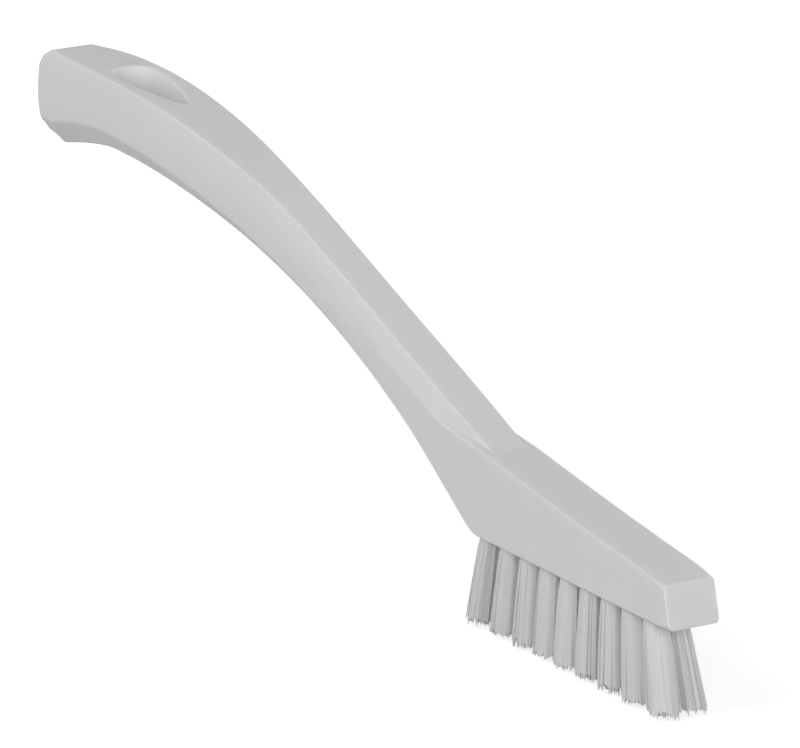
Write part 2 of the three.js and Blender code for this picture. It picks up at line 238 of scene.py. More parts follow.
class BrushFinish(bpy.types.PropertyGroup):
    """Colours and surface of the moulding, the filaments and the anchors."""

    body_colour: FloatVectorProperty(
        name="Body colour", description="Colour of the white moulded plastic", subtype="COLOR",
        size=3, min=0.0, max=1.0, default=(0.72, 0.72, 0.72))
    body_roughness: FloatProperty(
        name="Body roughness", description="Middle roughness of the moulded skin", subtype="FACTOR",
        min=0.0, max=1.0, default=0.5)
    body_grain: FloatProperty(
        name="Body grain", description="Strength of the fine relief of the moulded skin", subtype="FACTOR",
        min=0.0, max=1.0, default=0.12)
    filament_colour: FloatVectorProperty(
        name="Filament colour", description="Colour of the white filament", subtype="COLOR",
        size=3, min=0.0, max=1.0, default=(0.625, 0.625, 0.625))
    filament_roughness: FloatProperty(
        name="Filament roughness", description="Roughness of the filament", subtype="FACTOR",
        min=0.0, max=1.0, default=0.45)
    anchor_colour: FloatVectorProperty(
        name="Anchor colour", description="Colour of the flat anchor wire", subtype="COLOR",
        size=3, min=0.0, max=1.0, default=(0.6, 0.61, 0.63))


class BrushBodySizes(bpy.types.PropertyGroup):
    """Roundings of the moulded body."""

    edge_radius: FloatProperty(
        name="Edge radius", description="Rounding of the long upper edges", unit="LENGTH",
        min=0.0001, max=0.002, default=0.00015)
    lower_radius: FloatProperty(
        name="Lower radius", description="Rounding of the chamfer along the underside", unit="LENGTH",
        min=0.0001, max=0.002, default=0.0004)
    crease_radius: FloatProperty(
        name="Crease radius", description="Rounding of the crease along the handle's side", unit="LENGTH",
        min=0.0001, max=0.005, default=0.001)
    end_radius: FloatProperty(
        name="Tip radius", description="Rounding of the edges around the tip face", unit="LENGTH",
        min=0.0001, max=0.002, default=0.0002)
    heel_radius: FloatProperty(
        name="Heel radius", description="Rounding of the edges around the heel end", unit="LENGTH",
        min=0.0001, max=0.003, default=0.0012)
    rim_radius: FloatProperty(
        name="Hole rim radius", description="Rounding of the hanging hole's rims", unit="LENGTH",
        min=0.0001, max=0.001, default=0.00055)


class BrushFilaments(bpy.types.PropertyGroup):
    """The filaments of a tuft."""

    per_tuft: IntProperty(
        name="Filaments per tuft", description="Number of filaments in one tuft",
        min=10, max=160, default=130)
    thickness: FloatProperty(
        name="Thickness", description="Diameter of one filament", unit="LENGTH",
        min=0.0001, max=0.0005, default=0.0002)
    length: FloatProperty(
        name="Length", description="Middle length of the visible filament", unit="LENGTH",
        min=0.005, max=0.016, default=0.015)
    ragged: FloatProperty(
        name="Raggedness", description="Spread of the filament lengths", unit="LENGTH",
        min=0.0, max=0.001, default=0.00034)
    root_radius: FloatProperty(
        name="Root radius", description="Radius of a tuft where it leaves its hole", unit="LENGTH",
        min=0.0005, max=0.0018, default=0.00172)
    spread: FloatProperty(
        name="Spread", description="How many times longer a tuft is at its tips, along the brush",
        min=1.0, max=3.0, default=1.68)
    side_spread: FloatProperty(
        name="Side spread", description="How many times wider a tuft is at its tips, across the brush",
        min=1.0, max=2.0, default=1.42)
    rear_spread: FloatProperty(
        name="Rear spread",
        description="How many times longer the last tuft is at its tips, along the brush",
        min=1.0, max=3.0, default=1.4)
    splay: FloatProperty(
        name="Splay", description="How unevenly the filaments of the far row's first tuft spread",
        subtype="FACTOR", min=0.0, max=0.5, default=0.2)
    front_lean: FloatProperty(
        name="Front lean", description="Forward lean of the first tuft per unit of length",
        min=0.0, max=0.5, default=0.25)
    rear_lean: FloatProperty(
        name="Rear lean", description="Backward lean of the last tuft per unit of length",
        min=0.0, max=0.5, default=0.15)
    far_lean: FloatProperty(
        name="Far lean", description="Sideways lean of the far row's first tuft per unit of length",
        min=0.0, max=0.2, default=0.04)


class BrushStage(bpy.types.PropertyGroup):
    """Camera and light."""

    azimuth: FloatProperty(
        name="Azimuth", description="Camera turn from the side of the brush towards its tip",
        subtype="ANGLE", default=math.radians(58.494837))
    elevation: FloatProperty(
        name="Elevation", description="Camera height above the horizon", subtype="ANGLE",
        default=math.radians(16.754764))
    distance: FloatProperty(
        name="Distance", description="Distance from the tip's lower edge to the camera along the view",
        unit="LENGTH", default=1.2)
    offset: FloatVectorProperty(
        name="Offset", description="Place of the tip's lower edge right of and above the picture's middle",
        unit="LENGTH", size=2, default=(0.0462989, -0.0397952))
    lens: FloatProperty(
        name="Lens", description="Focal length for a sensor 36 mm wide", unit="CAMERA", default=344.1288)
    ambient: FloatProperty(
        name="Ambient", description="Strength of the light from all sides", min=0.0, max=2.0, default=0.06)
    side_power: FloatProperty(
        name="Side light", description="Power of the large soft light at the near side",
        unit="POWER", default=17.8)
    high_power: FloatProperty(
        name="High light", description="Power of the large soft light above the near side",
        unit="POWER", default=24.5)
    tip_power: FloatProperty(
        name="Tip light", description="Power of the large soft light in front of the tip",
        unit="POWER", default=25.5)
    front_power: FloatProperty(
        name="Front light", description="Power of the soft light near the camera",
        unit="POWER", default=22.0)
    back_power: FloatProperty(
        name="Back light", description="Power of the large soft light at the far side",
        unit="POWER", default=32.0)
    floor_colour: FloatVectorProperty(
        name="Floor colour", description="Colour of the floor as it lights the brush", subtype="COLOR",
        size=3, min=0.0, max=1.0, default=(0.46, 0.46, 0.46))
    floor_white: FloatProperty(
        name="Floor white", description="White that the camera sees on top of the lit floor",
        subtype="FACTOR", min=0.0, max=1.0, default=0.78)


# Shape helpers


def rounded_positive(value, blend):
    """The larger of a value and zero, joined by a parabola over a blend length on both sides of zero."""
    middle = (value + blend) ** 2 / (4 * blend)
    return np.where(value <= -blend, 0.0, np.where(value >= blend, value, middle))


def smooth_step(low, high, value):
    """Cubic step 3t^2 - 2t^3 of the share t of value between low and high."""
    t = np.clip((value - low) / (high - low), 0, 1)
    return t * t * (3 - 2 * t)


def curve_through(pairs, place):
    """Curve through (place, value) pairs: Hermite cubics whose slope at a pair is that of the chord
    between its two neighbours, held level beyond the ends."""
    places, values = np.array(pairs, float).T
    index = np.arange(len(places))
    before, after = np.maximum(index - 1, 0), np.minimum(index + 1, len(places) - 1)
    slopes = (values[after] - values[before]) / (places[after] - places[before])
    i = np.clip(np.searchsorted(places, place, side="right") - 1, 0, len(places) - 2)
    span = places[i + 1] - places[i]
    t = np.clip((place - places[i]) / span, 0, 1)
    start = (1 + 2 * t) * (1 - t) ** 2 * values[i] + t * (1 - t) ** 2 * span * slopes[i]
    end = t * t * (3 - 2 * t) * values[i + 1] - t * t * (1 - t) * span * slopes[i + 1]
    return start + end


def head_top(back):
    """Height of the head's top: the straight line from tip to neck less a shallow parabola."""
    t = (back - TIP_SLANT) / (NECK_BACK - TIP_SLANT)
    sag = np.where(t < 1, 4 * HEAD_SAG * t * (1 - t), 0)
    return TIP_HEIGHT + (NECK_HEIGHT - TIP_HEIGHT) * t - sag


def handle_top(back):
    """Height of the handle's top: a straight line from the neck, then a circular arc tangent to it."""
    angle = math.atan(HANDLE_SLOPE)
    centre = ARC_START + ARC_RADIUS * math.sin(angle)
    straight = NECK_HEIGHT + HANDLE_SLOPE * (back - NECK_BACK)
    level = NECK_HEIGHT + HANDLE_SLOPE * (ARC_START - NECK_BACK) - ARC_RADIUS * math.cos(angle)
    arc = level + np.sqrt(np.maximum(ARC_RADIUS ** 2 - (back - centre) ** 2, 0))
    return np.where(back <= ARC_START, straight, arc)


def heel_cut(back, cut):
    """Drop of a bevel at the heel: a straight ramp of a length and a drop that ends at the heel's end, with
    its start rounded over a blend."""
    length, drop, blend = cut
    return drop / length * rounded_positive(back - (HEEL_END - length), blend)


def ledge_height(back):
    """Height of the head's top, and of the ledge beside the neck that carries it on."""
    ledge = NECK_HEIGHT + LEDGE_RISE * (back - NECK_BACK)
    return np.where(back <= NECK_BACK, head_top(back), ledge)


def top_height(back):
    """Height of the top: the ledge's line plus the handle's rise above it, less the heel's upper bevel."""
    rise = rounded_positive(handle_top(back) - ledge_height(back), NECK_BLEND)
    top = np.where(back < NECK_BLEND_START, head_top(back), ledge_height(back) + rise)
    return top - heel_cut(back, HEEL_TOP_CUT)


def bottom_height(back):
    """Height of the underside: zero under the head, then the handle's top less the thickness, plus the
    heel's lower bevel."""
    pairs = ((HEAD_LENGTH, float(handle_top(HEAD_LENGTH))), *THICKNESS)
    belly = rounded_positive(handle_top(back) - curve_through(pairs, back), HEAD_CORNER_BLEND)
    return np.where(back < HEAD_LENGTH - HEAD_CORNER_BLEND, 0, belly) + heel_cut(back, HEEL_BOTTOM_CUT)


def side_height(back):
    """Height of the flush side's upper end: the head's top, the ledge beside the neck, then the crease."""
    crease = top_height(back) - curve_through(UPPER_SIDE_DEPTH, back)
    beside = np.where(back < LEDGE_END, np.maximum(ledge_height(back), crease), crease)
    return np.where(back <= NECK_BACK, np.minimum(head_top(back), top_height(back)), beside)


def tip_share(back):
    """Share by which the tip's corners are rounded: one at the tip, falling evenly to zero."""
    return np.clip(1 - back / TIP_CORNER_FADE, 0, 1)


def section_corners(back):
    """Corners of the half cross-sections as (y, height), one row per place along the brush: middle of the
    underside, its edge, the chamfer's upper edge, the side's upper end, the ledge's inner end, the top's
    edge and the middle of the top. The ledge dips by half a cosine wave to either side of one place.
    Behind the ledge the side's upper end and the ledge's inner end move apart, each by a share of its
    own face, so that the crease between the faces is a soft one."""
    upper, side, bottom = top_height(back), side_height(back), bottom_height(back)
    t = np.clip((back - LEDGE_DIP_BACK) / LEDGE_DIP_REACH, -1, 1)
    outer_height = side - LEDGE_DIP * (1 + np.cos(np.pi * t)) / 2
    chamfer = curve_through(CHAMFER_WIDTH, back) + TIP_CORNER_CHAMFER * tip_share(back)
    chamfer_top = bottom + CHAMFER_STEEPNESS * chamfer
    toward_end = np.clip((back - (HEEL_END - HEEL_TAPER_LENGTH)) / HEEL_TAPER_LENGTH, 0, 1)
    taper = toward_end ** HEEL_TAPER_POWER
    widths = ((NECK_BACK, HEAD_WIDTH / 2), *SIDE_HALF_WIDTH)
    outer = curve_through(widths, back) - HEEL_SIDE_INSET * taper
    top = curve_through(TOP_HALF_WIDTH, back) - HEEL_TOP_INSET * taper
    share = smooth_step(NECK_BACK, WAIST_BACK, back)
    lower = HEAD_WIDTH / 2 * (1 - share) + (outer - LOWER_SIDE_DRAFT) * share
    foot = np.clip((upper - side) / curve_through(UPPER_SIDE_DEPTH, back), 0, 1) ** LEDGE_WIDTH_POWER
    inner = top + (outer - top) * foot
    soft = CREASE_SHARE * smooth_step(LEDGE_END, LEDGE_END + CREASE_RUN_IN, back)
    zero = np.zeros_like(back)
    corners = (
        (zero, bottom),
        (lower - chamfer, bottom),
        (lower, chamfer_top),
        (outer + (lower - outer) * soft, outer_height + (chamfer_top - outer_height) * soft),
        (inner + (top - inner) * soft, side + (upper - side) * soft),
        (top, upper),
        (zero, upper),
    )
    return np.stack([np.stack(corner, 1) for corner in corners], 1)


def rounded_run(corners, radii):
    """Rounds the inner corners of open runs of points, all runs at once: a corner becomes a quadratic
    Bezier curve whose ends lie a radius away along its two edges, or less where an edge is short. Each
    straight stretch between two curves gets a point close to either end and one halfway, so that flats
    stay flat."""
    edges = np.diff(corners, axis=1)
    lengths = np.linalg.norm(edges, axis=2)
    units = edges / np.maximum(lengths, TINY)[..., None]
    middle = corners[:, 1:-1]
    cut = np.minimum(radii, CORNER_SHARE * np.minimum(lengths[:, :-1], lengths[:, 1:]))[..., None]
    start, end = middle - units[:, :-1] * cut, middle + units[:, 1:] * cut
    t = np.linspace(0, 1, CORNER_STEPS)[:, None]
    first, last = (1 - t) ** 2 * start[:, :, None], t * t * end[:, :, None]
    curves = first + 2 * t * (1 - t) * middle[:, :, None] + last
    gap = start[:, 1:] - end[:, :-1]
    near = np.clip(FLAT_MARGIN / np.maximum(np.linalg.norm(gap, axis=2), TINY), 0, FLAT_MARGIN_SHARE)
    shares = np.stack([near, np.full_like(near, 0.5), 1 - near], 2)[..., None]
    flats = end[:, :-1, None] + gap[:, :, None] * shares
    parts = [curves[:, 0]]
    for i in range(flats.shape[1]):
        parts += [flats[:, i], curves[:, i + 1]]
    return np.concatenate(parts, axis=1)


def hole_outline(size):
    """Half outline of the hanging hole as (along, y) points and outward normals, from its narrow end to its
    round end: a cubic Bezier curve that leaves the narrow end square to the middle line and runs out along
    it, then a quarter circle."""
    radius, reach, _ = size
    flank_count, round_count = HOLE_COUNTS
    t = np.linspace(0, 1, flank_count)[:, None]
    u = 1 - t
    narrow, full = np.array([reach, 0]), np.array([reach, HOLE_TIP_FULLNESS * radius])
    flank, widest = np.array([HOLE_FLANK * reach, radius]), np.array([0, radius])
    curve = u ** 3 * narrow + 3 * u ** 2 * t * full + 3 * u * t * t * flank + t ** 3 * widest
    along = 3 * (u ** 2 * (full - narrow) + 2 * u * t * (flank - full) + t * t * (widest - flank))
    across = np.stack([along[:, 1], -along[:, 0]], 1)
    angle = np.linspace(math.pi / 2, math.pi, round_count + 1)[1:]
    ring = np.stack([np.cos(angle), np.sin(angle)], 1)
    ring[-1] = (-1, 0)
    normal = np.concatenate([across / np.linalg.norm(across, axis=1, keepdims=True), ring])
    return np.concatenate([curve, radius * ring]), normal


def body_stations(tip_radius, heel_radius):
    """Places along the brush, how far each cross-section shrinks for the rounded ends, and which of them
    lie beside the hole. The ends follow a quarter circle, and their outermost place is the flat end face.
    The places between them come in even stretches, each with its own number of places."""
    quarter = np.linspace(0, math.pi / 2, END_STEPS)
    bend = np.append(1 - np.sin(quarter), 0)
    draw_in = 1 - np.cos(quarter)
    tip = tip_radius * bend[::-1]
    heel = HEEL_END - heel_radius * bend
    neck_start, neck_end = NECK_STRETCH
    hole_before, hole_behind = HOLE_STRETCH
    stretches = (
        (tip[-1], TIP_STRETCH_END, 8), (TIP_STRETCH_END, neck_start, 22), (neck_start, neck_end, 42),
        (neck_end, LEDGE_END, 22), (LEDGE_END, ARC_START, 20), (ARC_START, hole_before, 44))
    before = np.concatenate([np.linspace(*stretch)[1:] for stretch in stretches])
    beside = np.linspace(HOLE_START, HOLE_END, sum(HOLE_COUNTS))
    behind = np.linspace(hole_behind, HEEL_STRETCH_START, 10)
    last = np.linspace(HEEL_STRETCH_START, heel[0], 22)[1:-1]
    back = np.concatenate([tip, before, beside, behind, last, heel])
    shrink = np.zeros_like(back)
    shrink[:len(tip)] = np.append(tip_radius * draw_in, tip_radius + CAP_INSET)[::-1]
    shrink[-len(heel):] = np.append(heel_radius * draw_in, heel_radius + CAP_INSET)
    first = len(tip) + len(before)
    return back, shrink, slice(first, first + len(beside))


def body_half(sizes):
    """Points (n, m, 3) in millimetres of the body's half at positive y, and the hole's wall (k, w, 3). Each
    row is one cross-section from the rim or middle of the underside to the rim or middle of the top.
    Beside the hole the flat top and underside run from its rounded rim to their outer edges. The wall
    rises evenly from the lower rim to the upper one and moves out by a high power of its rise, so that
    it opens mostly close under the upper rim."""
    back, shrink, hole = body_stations(sizes.end_radius / MM, sizes.heel_radius / MM)
    corners = section_corners(back)
    edge, lower, crease = sizes.edge_radius / MM, sizes.lower_radius / MM, sizes.crease_radius / MM
    tip_edge = edge + (TIP_CORNER - edge) * tip_share(back)
    outer = np.where(back < LEDGE_END, tip_edge, crease)
    inner = np.where(back < LEDGE_END, edge * LEDGE_INNER_SHARE, crease)
    low, high = np.full_like(back, lower), np.full_like(back, edge)
    run = rounded_run(corners, np.stack([low, low, outer, inner, high], 1))
    arc = np.linspace(0, math.pi / 2, RIM_STEPS)

    def face(size, outer_y, height, sign):
        """Plan places and heights from the rim or the middle out to the flat's outer edge."""
        outline, normal = hole_outline(size)
        place = np.repeat(back[:, None], len(arc), 1)
        side = np.zeros_like(place)
        rim = size[2] * sizes.rim_radius / MM
        step = rim * (1 - np.cos(arc))
        place[hole] = HOLE_BACK - outline[:, :1] - normal[:, :1] * step
        side[hole] = outline[:, 1:] + normal[:, 1:] * step
        level = height(place)
        level[hole] += sign * rim * (1 - np.sin(arc))
        flat_place = place[:, -1:] + (back[:, None] - place[:, -1:]) * FLAT_SHARES
        flat_side = side[:, -1:] + (outer_y[:, None] - side[:, -1:]) * FLAT_SHARES
        flat = np.stack([flat_place, flat_side, height(flat_place)], 2)
        return np.concatenate([np.stack([place, side, level], 2), flat], 1)

    under = face(HOLE_UNDER, run[:, 0, 0], bottom_height, 1)
    above = face(HOLE_TOP, run[:, -1, 0], top_height, -1)
    outside = np.concatenate([np.repeat(back[:, None], run.shape[1], 1)[..., None], run], 2)
    half = np.concatenate([under, outside, above[:, ::-1]], 1)
    middle = (half[..., 2].min(1) + half[..., 2].max(1)) / 2
    half_height = (half[..., 2].max(1) - half[..., 2].min(1)) / 2
    half[..., 1] *= 1 - (shrink / half[..., 1].max(1))[:, None]
    shrink = np.where(back < NECK_BACK, TIP_EDGE_SHARE * shrink, shrink)
    half[..., 2] = middle[:, None] + (half[..., 2] - middle[:, None]) * (1 - shrink / half_height)[:, None]
    rise = np.linspace(0, 1, WALL_STEPS)[:, None]
    share = np.concatenate([rise ** HOLE_FLARE, rise ** HOLE_FLARE, rise], 1)
    wall = half[hole, :1] * (1 - share) + half[hole, -1:] * share
    return half, wall


def placed(points):
    """Turns (back, y, height) in millimetres into the row frame in metres. The tip face leans back with
    height, and the heel's foot leans forward by the square of its depth. The crest of the arc is kept
    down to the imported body's top, whose arc has fewer points."""
    back, y, height = np.moveaxis(points, -1, 0)
    height = np.minimum(height, BODY_HIGH.z - FACE_Z)
    slant = TIP_SLANT * height / TIP_HEIGHT * np.maximum(0, 1 - back / TIP_SLANT_FADE)
    foot = np.clip((HEEL_FOOT_TOP - height) / HEEL_FOOT_REACH, 0, 1) ** 2
    lean = HEEL_FOOT_LEAN * foot * np.clip(1 - (HEEL_END - back) / HEEL_FOOT_FADE, 0, 1)
    return np.stack([TIP_X - back - slant + lean, y, FACE_Z + height], -1) * MM


def grid_faces(rows, columns, first=0):
    """Quads of a grid of points numbered row by row."""
    index = first + np.arange(rows * columns).reshape(rows, columns)
    quads = np.stack([index[:-1, :-1], index[1:, :-1], index[1:, 1:], index[:-1, 1:]], -1)
    return quads.reshape(-1, 4)


def body_mesh(sizes):
    """Points in metres and faces of the whole body: the half, its wall of the hole and their mirror images
    across the middle plane, and one flat face at either end. Quads in the middle plane are left out."""
    half, wall = body_half(sizes)
    mirror = np.array([1, -1, 1])
    patches = [half, half * mirror, wall, wall * mirror]
    faces, first = [], 0
    for patch in patches:
        faces.append(grid_faces(*patch.shape[:2], first))
        first += patch.shape[0] * patch.shape[1]
    points = np.concatenate([placed(patch).reshape(-1, 3) for patch in patches])
    quads = np.concatenate(faces)
    faces = quads[np.abs(points[quads, 1]).max(1) > TINY].tolist()
    rows, columns = half.shape[:2]
    near = np.arange(RIM_STEPS - 1, columns - RIM_STEPS + 1)
    far = rows * columns + near[-2:0:-1]
    for first in (0, (rows - 1) * columns):
        faces.append(np.concatenate([near, far]) + first)
    return points, faces


def new_object(name, points, faces):
    """Mesh object at the origin from an array of points and a list of faces."""
    mesh = bpy.data.meshes.new(name)
    mesh.from_pydata(points.reshape(-1, 3).tolist(), [], faces)
    piece = bpy.data.objects.new(name, mesh)
    bpy.context.scene.collection.objects.link(piece)
    return piece


def close_mesh(piece):
    """Merges doubled points, drops faces without area, turns faces outwards and refuses an open mesh."""
    work = bmesh.new()
    work.from_mesh(piece.data)
    bmesh.ops.remove_doubles(work, verts=work.verts, dist=MERGE_DISTANCE)
    bmesh.ops.dissolve_degenerate(work, edges=work.edges, dist=SHORTEST_EDGE)
    bmesh.ops.recalc_face_normals(work, faces=work.faces)
    if work.calc_volume(signed=True) < 0:
        bmesh.ops.reverse_faces(work, faces=work.faces)
    open_edges = sum(1 for e in work.edges if not e.is_manifold)
    work.to_mesh(piece.data)
    work.free()
    if open_edges:
        raise RuntimeError(f"{piece.name} has {open_edges} open edges")


def smooth_shading(piece, degrees):
    """Smooth faces with sharp edges where two faces meet at more than an angle."""
    piece.data.shade_smooth()
    piece.data.set_sharp_from_angle(angle=math.radians(degrees))


def tuft_middles(side):
    """Plan places of a row's tufts in millimetres, the front one first."""
    x = TIP_X - FIRST_TUFT_BACK - TUFT_PITCH * np.arange(TUFTS_PER_ROW)
    return np.stack([x, np.full_like(x, side * ROW_OFFSET)], 1)


def tube_faces(count, along, around, first=0):
    """Quads of tubes numbered tube by tube, ring by ring, and one flat face at both ends of each."""
    index = first + np.arange(count * along * around).reshape(count, along, around)
    turned = np.roll(index, -1, 2)
    quads = np.stack([index[:, :-1], index[:, 1:], turned[:, 1:], turned[:, :-1]], -1)
    return quads.reshape(-1, 4).tolist() + index[:, 0].tolist() + index[:, -1, ::-1].tolist()


def ring_of(sides):
    """Points of a unit circle."""
    angle = np.linspace(0, 2 * np.pi, sides, endpoint=False)
    return np.stack([np.cos(angle), np.sin(angle)], 1)


def tuft_hole_cutter():
    """One closed bar per tuft hole: rings around the hole's axis, slightly wider at the mouth."""
    middles = np.concatenate([tuft_middles(side) for side in ROWS.values()])
    radius = TUFT_HOLE_RADIUS + np.array([MOUTH_WIDENING, MOUTH_WIDENING, 0.0, 0.0])
    height = np.array([-CUTTER_OVERHANG, 0.0, MOUTH_DEPTH, TUFT_HOLE_DEPTH])
    plan = middles[:, None, None] + radius[:, None, None] * ring_of(TUFT_HOLE_SIDES)
    level = np.broadcast_to((FACE_Z + height)[:, None, None], plan.shape[:-1] + (1,))
    points = np.concatenate([plan, level], -1) * MM
    return new_object("tuft_hole_cutter", points, tube_faces(*points.shape[:3]))


def tuft_pose(side, sizes):
    """Middles, leans per unit of length and spreads, each along and across, and powers of the flare of a
    row's tufts. The lean grows with the square, and the narrowing of the rear tufts with a higher power,
    of the tuft's place between the middle of the row and its end. The far row's first tuft has its own
    sideways lean and flares later."""
    middles = tuft_middles(side)
    share = np.linspace(1, -1, TUFTS_PER_ROW)
    end_lean = np.where(share > 0, sizes.front_lean, -sizes.rear_lean)
    lean = np.stack([end_lean * share ** 2, np.full_like(share, ROW_LEAN * side)], 1)
    power = np.full(TUFTS_PER_ROW, FLARE_POWER)
    if side > 0:
        lean[0, 1] = sizes.far_lean
        power[0] = SPLAYED_FLARE_POWER
    along = sizes.spread + (sizes.rear_spread - sizes.spread) * np.maximum(-share, 0) ** REAR_SPREAD_POWER
    spread = np.stack([along, np.full_like(share, sizes.side_spread)], 1)
    return middles, lean, spread, power


def filament_points(side, sizes, random):
    """Points (filaments, along, around, 3) of a row in millimetres. A root is a place on a sunflower disc.
    With depth share t below the bristle face a filament moves from its root by t times the tuft's lean and
    by a power of t times its own spread, plus a small bow t(1 - t). Around the line lies a regular ring,
    which is narrower at the end. A few stray filaments reach almost to the floor."""
    middles, lean, spread, power = tuft_pose(side, sizes)
    number = np.arange(sizes.per_tuft)
    turn = number * math.pi * (3 - math.sqrt(5)) + random.uniform(0, 2 * np.pi, (len(middles), 1))
    reach = sizes.root_radius / MM * np.sqrt((number + 0.5) / sizes.per_tuft)
    offset = reach[:, None] * np.stack([np.cos(turn), np.sin(turn)], -1)
    shape = offset.shape[:2]
    middle_length = sizes.length / MM
    length = middle_length + sizes.ragged / MM * random.standard_normal(shape)
    length = np.clip(length, SHORTEST_SHARE * middle_length, FACE_Z - FLOOR_GAP)
    length = np.where(random.random(shape) < STRAY_SHARE, FACE_Z - STRAY_FLOOR_GAP, length)
    uneven = np.full((len(middles), 1, 1), UNEVEN_SPREAD)
    uneven[0] = sizes.splay if side > 0 else UNEVEN_SPREAD
    own_spread = spread[:, None] * (1 + uneven * random.standard_normal(shape + (1,)))
    travel = lean[:, None] * length[..., None] + FILAMENT_WANDER * random.standard_normal(offset.shape)
    flare = offset * (own_spread - 1)
    bow = FILAMENT_BOW * random.standard_normal(offset.shape)
    depth = np.array(FILAMENT_DEPTHS)
    t = np.maximum(depth, 0)[:, None]
    plan = (middles[:, None] + offset)[:, :, None] + travel[:, :, None] * t + bow[:, :, None] * t * (1 - t)
    plan += flare[:, :, None] * t ** power[:, None, None, None]
    level = np.where(depth < 0, FACE_Z - depth, FACE_Z - length[..., None] * t[:, 0])
    radius = sizes.thickness / MM / 2 * np.where(depth == 1.0, FILAMENT_END_TAPER, 1.0)
    around = plan[..., None, :] + radius[:, None, None] * ring_of(FILAMENT_SIDES)
    levels = np.broadcast_to(level[..., None, None], around.shape[:-1] + (1,))
    return np.concatenate([around, levels], -1).reshape(-1, len(depth), FILAMENT_SIDES, 3)


def heart_points(side, sizes, random):
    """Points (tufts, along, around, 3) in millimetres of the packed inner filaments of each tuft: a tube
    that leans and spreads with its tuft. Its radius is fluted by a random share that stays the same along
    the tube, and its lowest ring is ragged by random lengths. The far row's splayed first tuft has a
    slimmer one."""
    middles, lean, spread, power = tuft_pose(side, sizes)
    depth = np.array(HEART_DEPTHS)
    t = np.maximum(depth, 0)
    length = sizes.length / MM
    flute = 1 + HEART_FLUTING * random.standard_normal((len(middles), 1, HEART_SIDES, 1))
    flute[0] *= 1 - SPLAYED_HEART_LOSS * sizes.splay if side > 0 else 1
    ragged = sizes.ragged / MM * random.standard_normal((len(middles), 1, HEART_SIDES))
    flare = (spread[:, None] - 1) * t[:, None] ** power[:, None, None]
    widening = np.array(HEART_RADII)[:, None] * (1 + flare)
    centre = middles[:, None] + lean[:, None] * length * t[:, None]
    radius = sizes.root_radius / MM * widening[:, :, None] * flute
    plan = centre[:, :, None] + radius * ring_of(HEART_SIDES)
    end = np.where(t == t.max(), 1.0, 0.0)[:, None]
    level = FACE_Z - np.minimum(depth, 0)[:, None] - length * t[:, None] - ragged * end
    return np.concatenate([plan, level[..., None]], -1)


# Materials


def new_material(name):
    """New node material with its main shader and its node tree."""
    material = bpy.data.materials.new(name)
    material.use_nodes = True
    tree = material.node_tree
    return material, tree.nodes["Principled BSDF"], tree


def object_place(tree):
    """Place on a piece in its own coordinates."""
    return tree.nodes.new("ShaderNodeTexCoord").outputs["Object"]


def noise(tree, vector, scale, detail, stretch=(1, 1, 1)):
    """Noise on a vector, stretched along the axes by a mapping."""
    mapping = tree.nodes.new("ShaderNodeMapping")
    mapping.inputs["Scale"].default_value = stretch
    texture = tree.nodes.new("ShaderNodeTexNoise")
    texture.inputs["Scale"].default_value = scale
    texture.inputs["Detail"].default_value = detail
    tree.links.new(vector, mapping.inputs["Vector"])
    tree.links.new(mapping.outputs["Vector"], texture.inputs["Vector"])
    return texture.outputs["Fac"]


def ranged(tree, value, low, high, start=0.3, end=0.7):
    """Maps a value between start and end evenly to a range. Most of a noise lies between the defaults."""
    node = tree.nodes.new("ShaderNodeMapRange")
    node.inputs["From Min"].default_value = start
    node.inputs["From Max"].default_value = end
    node.inputs["To Min"].default_value = low
    node.inputs["To Max"].default_value = high
    tree.links.new(value, node.inputs["Value"])
    return node.outputs["Result"]


def tinted(tree, factor, colour, tones):
    """Mixes a darker and a lighter tone of a colour by a factor."""
    dark, light = (np.array(colour) * tone for tone in tones)
    node = tree.nodes.new("ShaderNodeMix")
    node.data_type = "RGBA"
    node.inputs["A"].default_value = (*dark, 1)
    node.inputs["B"].default_value = (*light, 1)
    tree.links.new(factor, node.inputs["Factor"])
    return node.outputs["Result"]


def relief(tree, height, strength, distance, normal=None):
    """Normal of a surface with a relief, on top of another normal where one is given."""
    node = tree.nodes.new("ShaderNodeBump")
    node.inputs["Strength"].default_value = strength
    node.inputs["Distance"].default_value = distance
    tree.links.new(height, node.inputs["Height"])
    if normal is not None:
        tree.links.new(normal, node.inputs["Normal"])
    return node.outputs["Normal"]


def finish_shader(tree, shader, tone, roughness, normal):
    """Gives a shader its tone, roughness and relief."""
    tree.links.new(tone, shader.inputs["Base Color"])
    tree.links.new(roughness, shader.inputs["Roughness"])
    tree.links.new(normal, shader.inputs["Normal"])


def moulded_plastic(finish):
    """White moulded plastic that light enters a little: slow cloudy tone, uneven gloss, fine skin grain and
    faint flow lines along the brush."""
    material, shader, tree = new_material("white_moulded_plastic")
    where = object_place(tree)
    cloud = ranged(tree, noise(tree, where, CLOUD_SCALE, 3), 0, 1)
    tone = tinted(tree, cloud, finish.body_colour, BODY_TONES)
    rough = finish.body_roughness
    gloss = noise(tree, where, GLOSS_SCALE, 4)
    gloss = ranged(tree, gloss, rough - BODY_GLOSS_RANGE, rough + BODY_GLOSS_RANGE)
    grain = noise(tree, where, GRAIN_SCALE, 2)
    flow = noise(tree, where, FLOW_SCALE, 3, FLOW_STRETCH)
    skin = relief(tree, grain, finish.body_grain, GRAIN_RELIEF)
    skin = relief(tree, flow, finish.body_grain, FLOW_RELIEF, skin)
    finish_shader(tree, shader, tone, gloss, skin)
    shader.inputs["IOR"].default_value = 1.49
    shader.inputs["Specular IOR Level"].default_value = 0.25
    shader.inputs["Subsurface Weight"].default_value = 0.5
    shader.inputs["Subsurface Radius"].default_value = (1.0, 1.0, 1.0)
    shader.inputs["Subsurface Scale"].default_value = 0.0025
    return material


